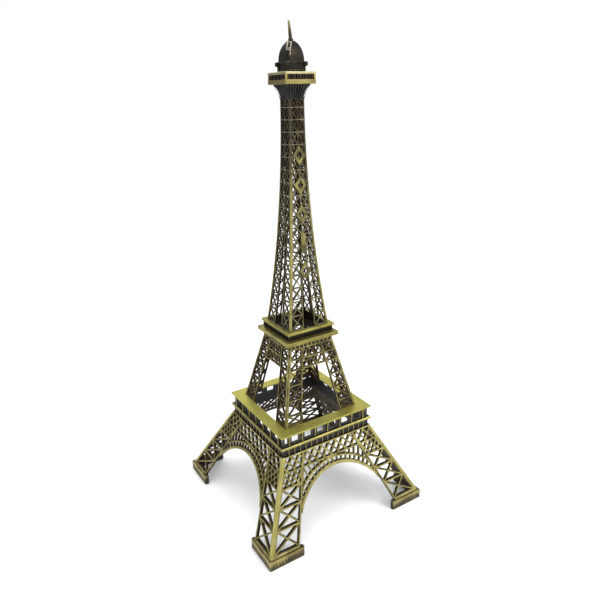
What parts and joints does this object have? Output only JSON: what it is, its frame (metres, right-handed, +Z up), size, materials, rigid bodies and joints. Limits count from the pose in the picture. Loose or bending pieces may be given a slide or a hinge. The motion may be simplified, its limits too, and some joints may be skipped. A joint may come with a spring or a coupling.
{
  "type": "miniature lattice tower model",
  "caption": "Free-standing souvenir model of a tapering iron lattice tower: splayed legs with arches, two platforms, tall concave shaft, gallery, dome and mast, in antiqued brass.",
  "frame": {"origin": "on the ground plane, in the middle of the four feet", "axes": "+Z up along the tower, -Y out of the front face that carries the raised ornaments, +X to its right"},
  "size_m": [0.1258, 0.1258, 0.32],
  "materials": {
    "brass_deck": "satin",
    "brass_bars": "satin",
    "bronze_lattice": "antiqued satin",
    "bronze_plinth": "antiqued satin",
    "bronze_dark": "dark antiqued satin"
  },
  "bodies": {
    "root": {"arch_back": "bronze_lattice", "arch_front": "bronze_lattice", "arch_left": "bronze_lattice", "arch_right": "bronze_lattice", "capital": "bronze_dark", "corner_finials": "bronze_dark", "dome": "bronze_dark", "foot_plinth_back_left": "bronze_plinth", "foot_plinth_back_right": "bronze_plinth", "foot_plinth_front_left": "bronze_plinth", "foot_plinth_front_right": "bronze_plinth", "gallery_parapet": "brass_deck", "gallery_roof": "brass_deck", "girder_back": "bronze_lattice", "girder_front": "bronze_lattice", "girder_left": "bronze_lattice", "girder_right": "bronze_lattice", "lantern_drum": "bronze_dark", "leg_corner_post_back_left": "brass_bars", "leg_corner_post_back_right": "brass_bars", "leg_corner_post_front_left": "brass_bars", "leg_corner_post_front_right": "brass_bars", "leg_lattice_back_a": "bronze_lattice", "leg_lattice_back_b": "bronze_lattice", "leg_lattice_front_a": "bronze_lattice", "leg_lattice_front_b": "bronze_lattice", "leg_lattice_left_a": "bronze_lattice", "leg_lattice_left_b": "bronze_lattice", "leg_lattice_right_a": "bronze_lattice", "leg_lattice_right_b": "bronze_lattice", "mast": "bronze_dark", "mid_girder_back": "bronze_lattice", "mid_girder_front": "bronze_lattice", "mid_girder_left": "bronze_lattice", "mid_girder_right": "bronze_lattice", "mid_leg_back_left": "bronze_lattice", "mid_leg_back_right": "bronze_lattice", "mid_leg_front_left": "bronze_lattice", "mid_leg_front_right": "bronze_lattice", "platform_1_deck_back": "brass_deck", "platform_1_deck_front": "brass_deck", "platform_1_deck_left": "brass_deck", "platform_1_deck_right": "brass_deck", "platform_1_frieze": "bronze_lattice", "platform_1_parapet_back": "bronze_dark", "platform_1_parapet_front": "bronze_dark", "platform_1_parapet_left": "bronze_dark", "platform_1_parapet_right": "bronze_dark", "platform_2_ledge": "brass_deck", "platform_2_rim": "brass_deck", "platform_2_wall": "bronze_dark", "shaft_corner_post_back_left": "brass_bars", "shaft_corner_post_back_right": "brass_bars", "shaft_corner_post_front_left": "brass_bars", "shaft_corner_post_front_right": "brass_bars", "shaft_lattice_back": "bronze_lattice", "shaft_lattice_front": "bronze_lattice", "shaft_lattice_left": "bronze_lattice", "shaft_lattice_right": "bronze_lattice", "shaft_ornaments": "brass_deck"}
  },
  "joints": []
}
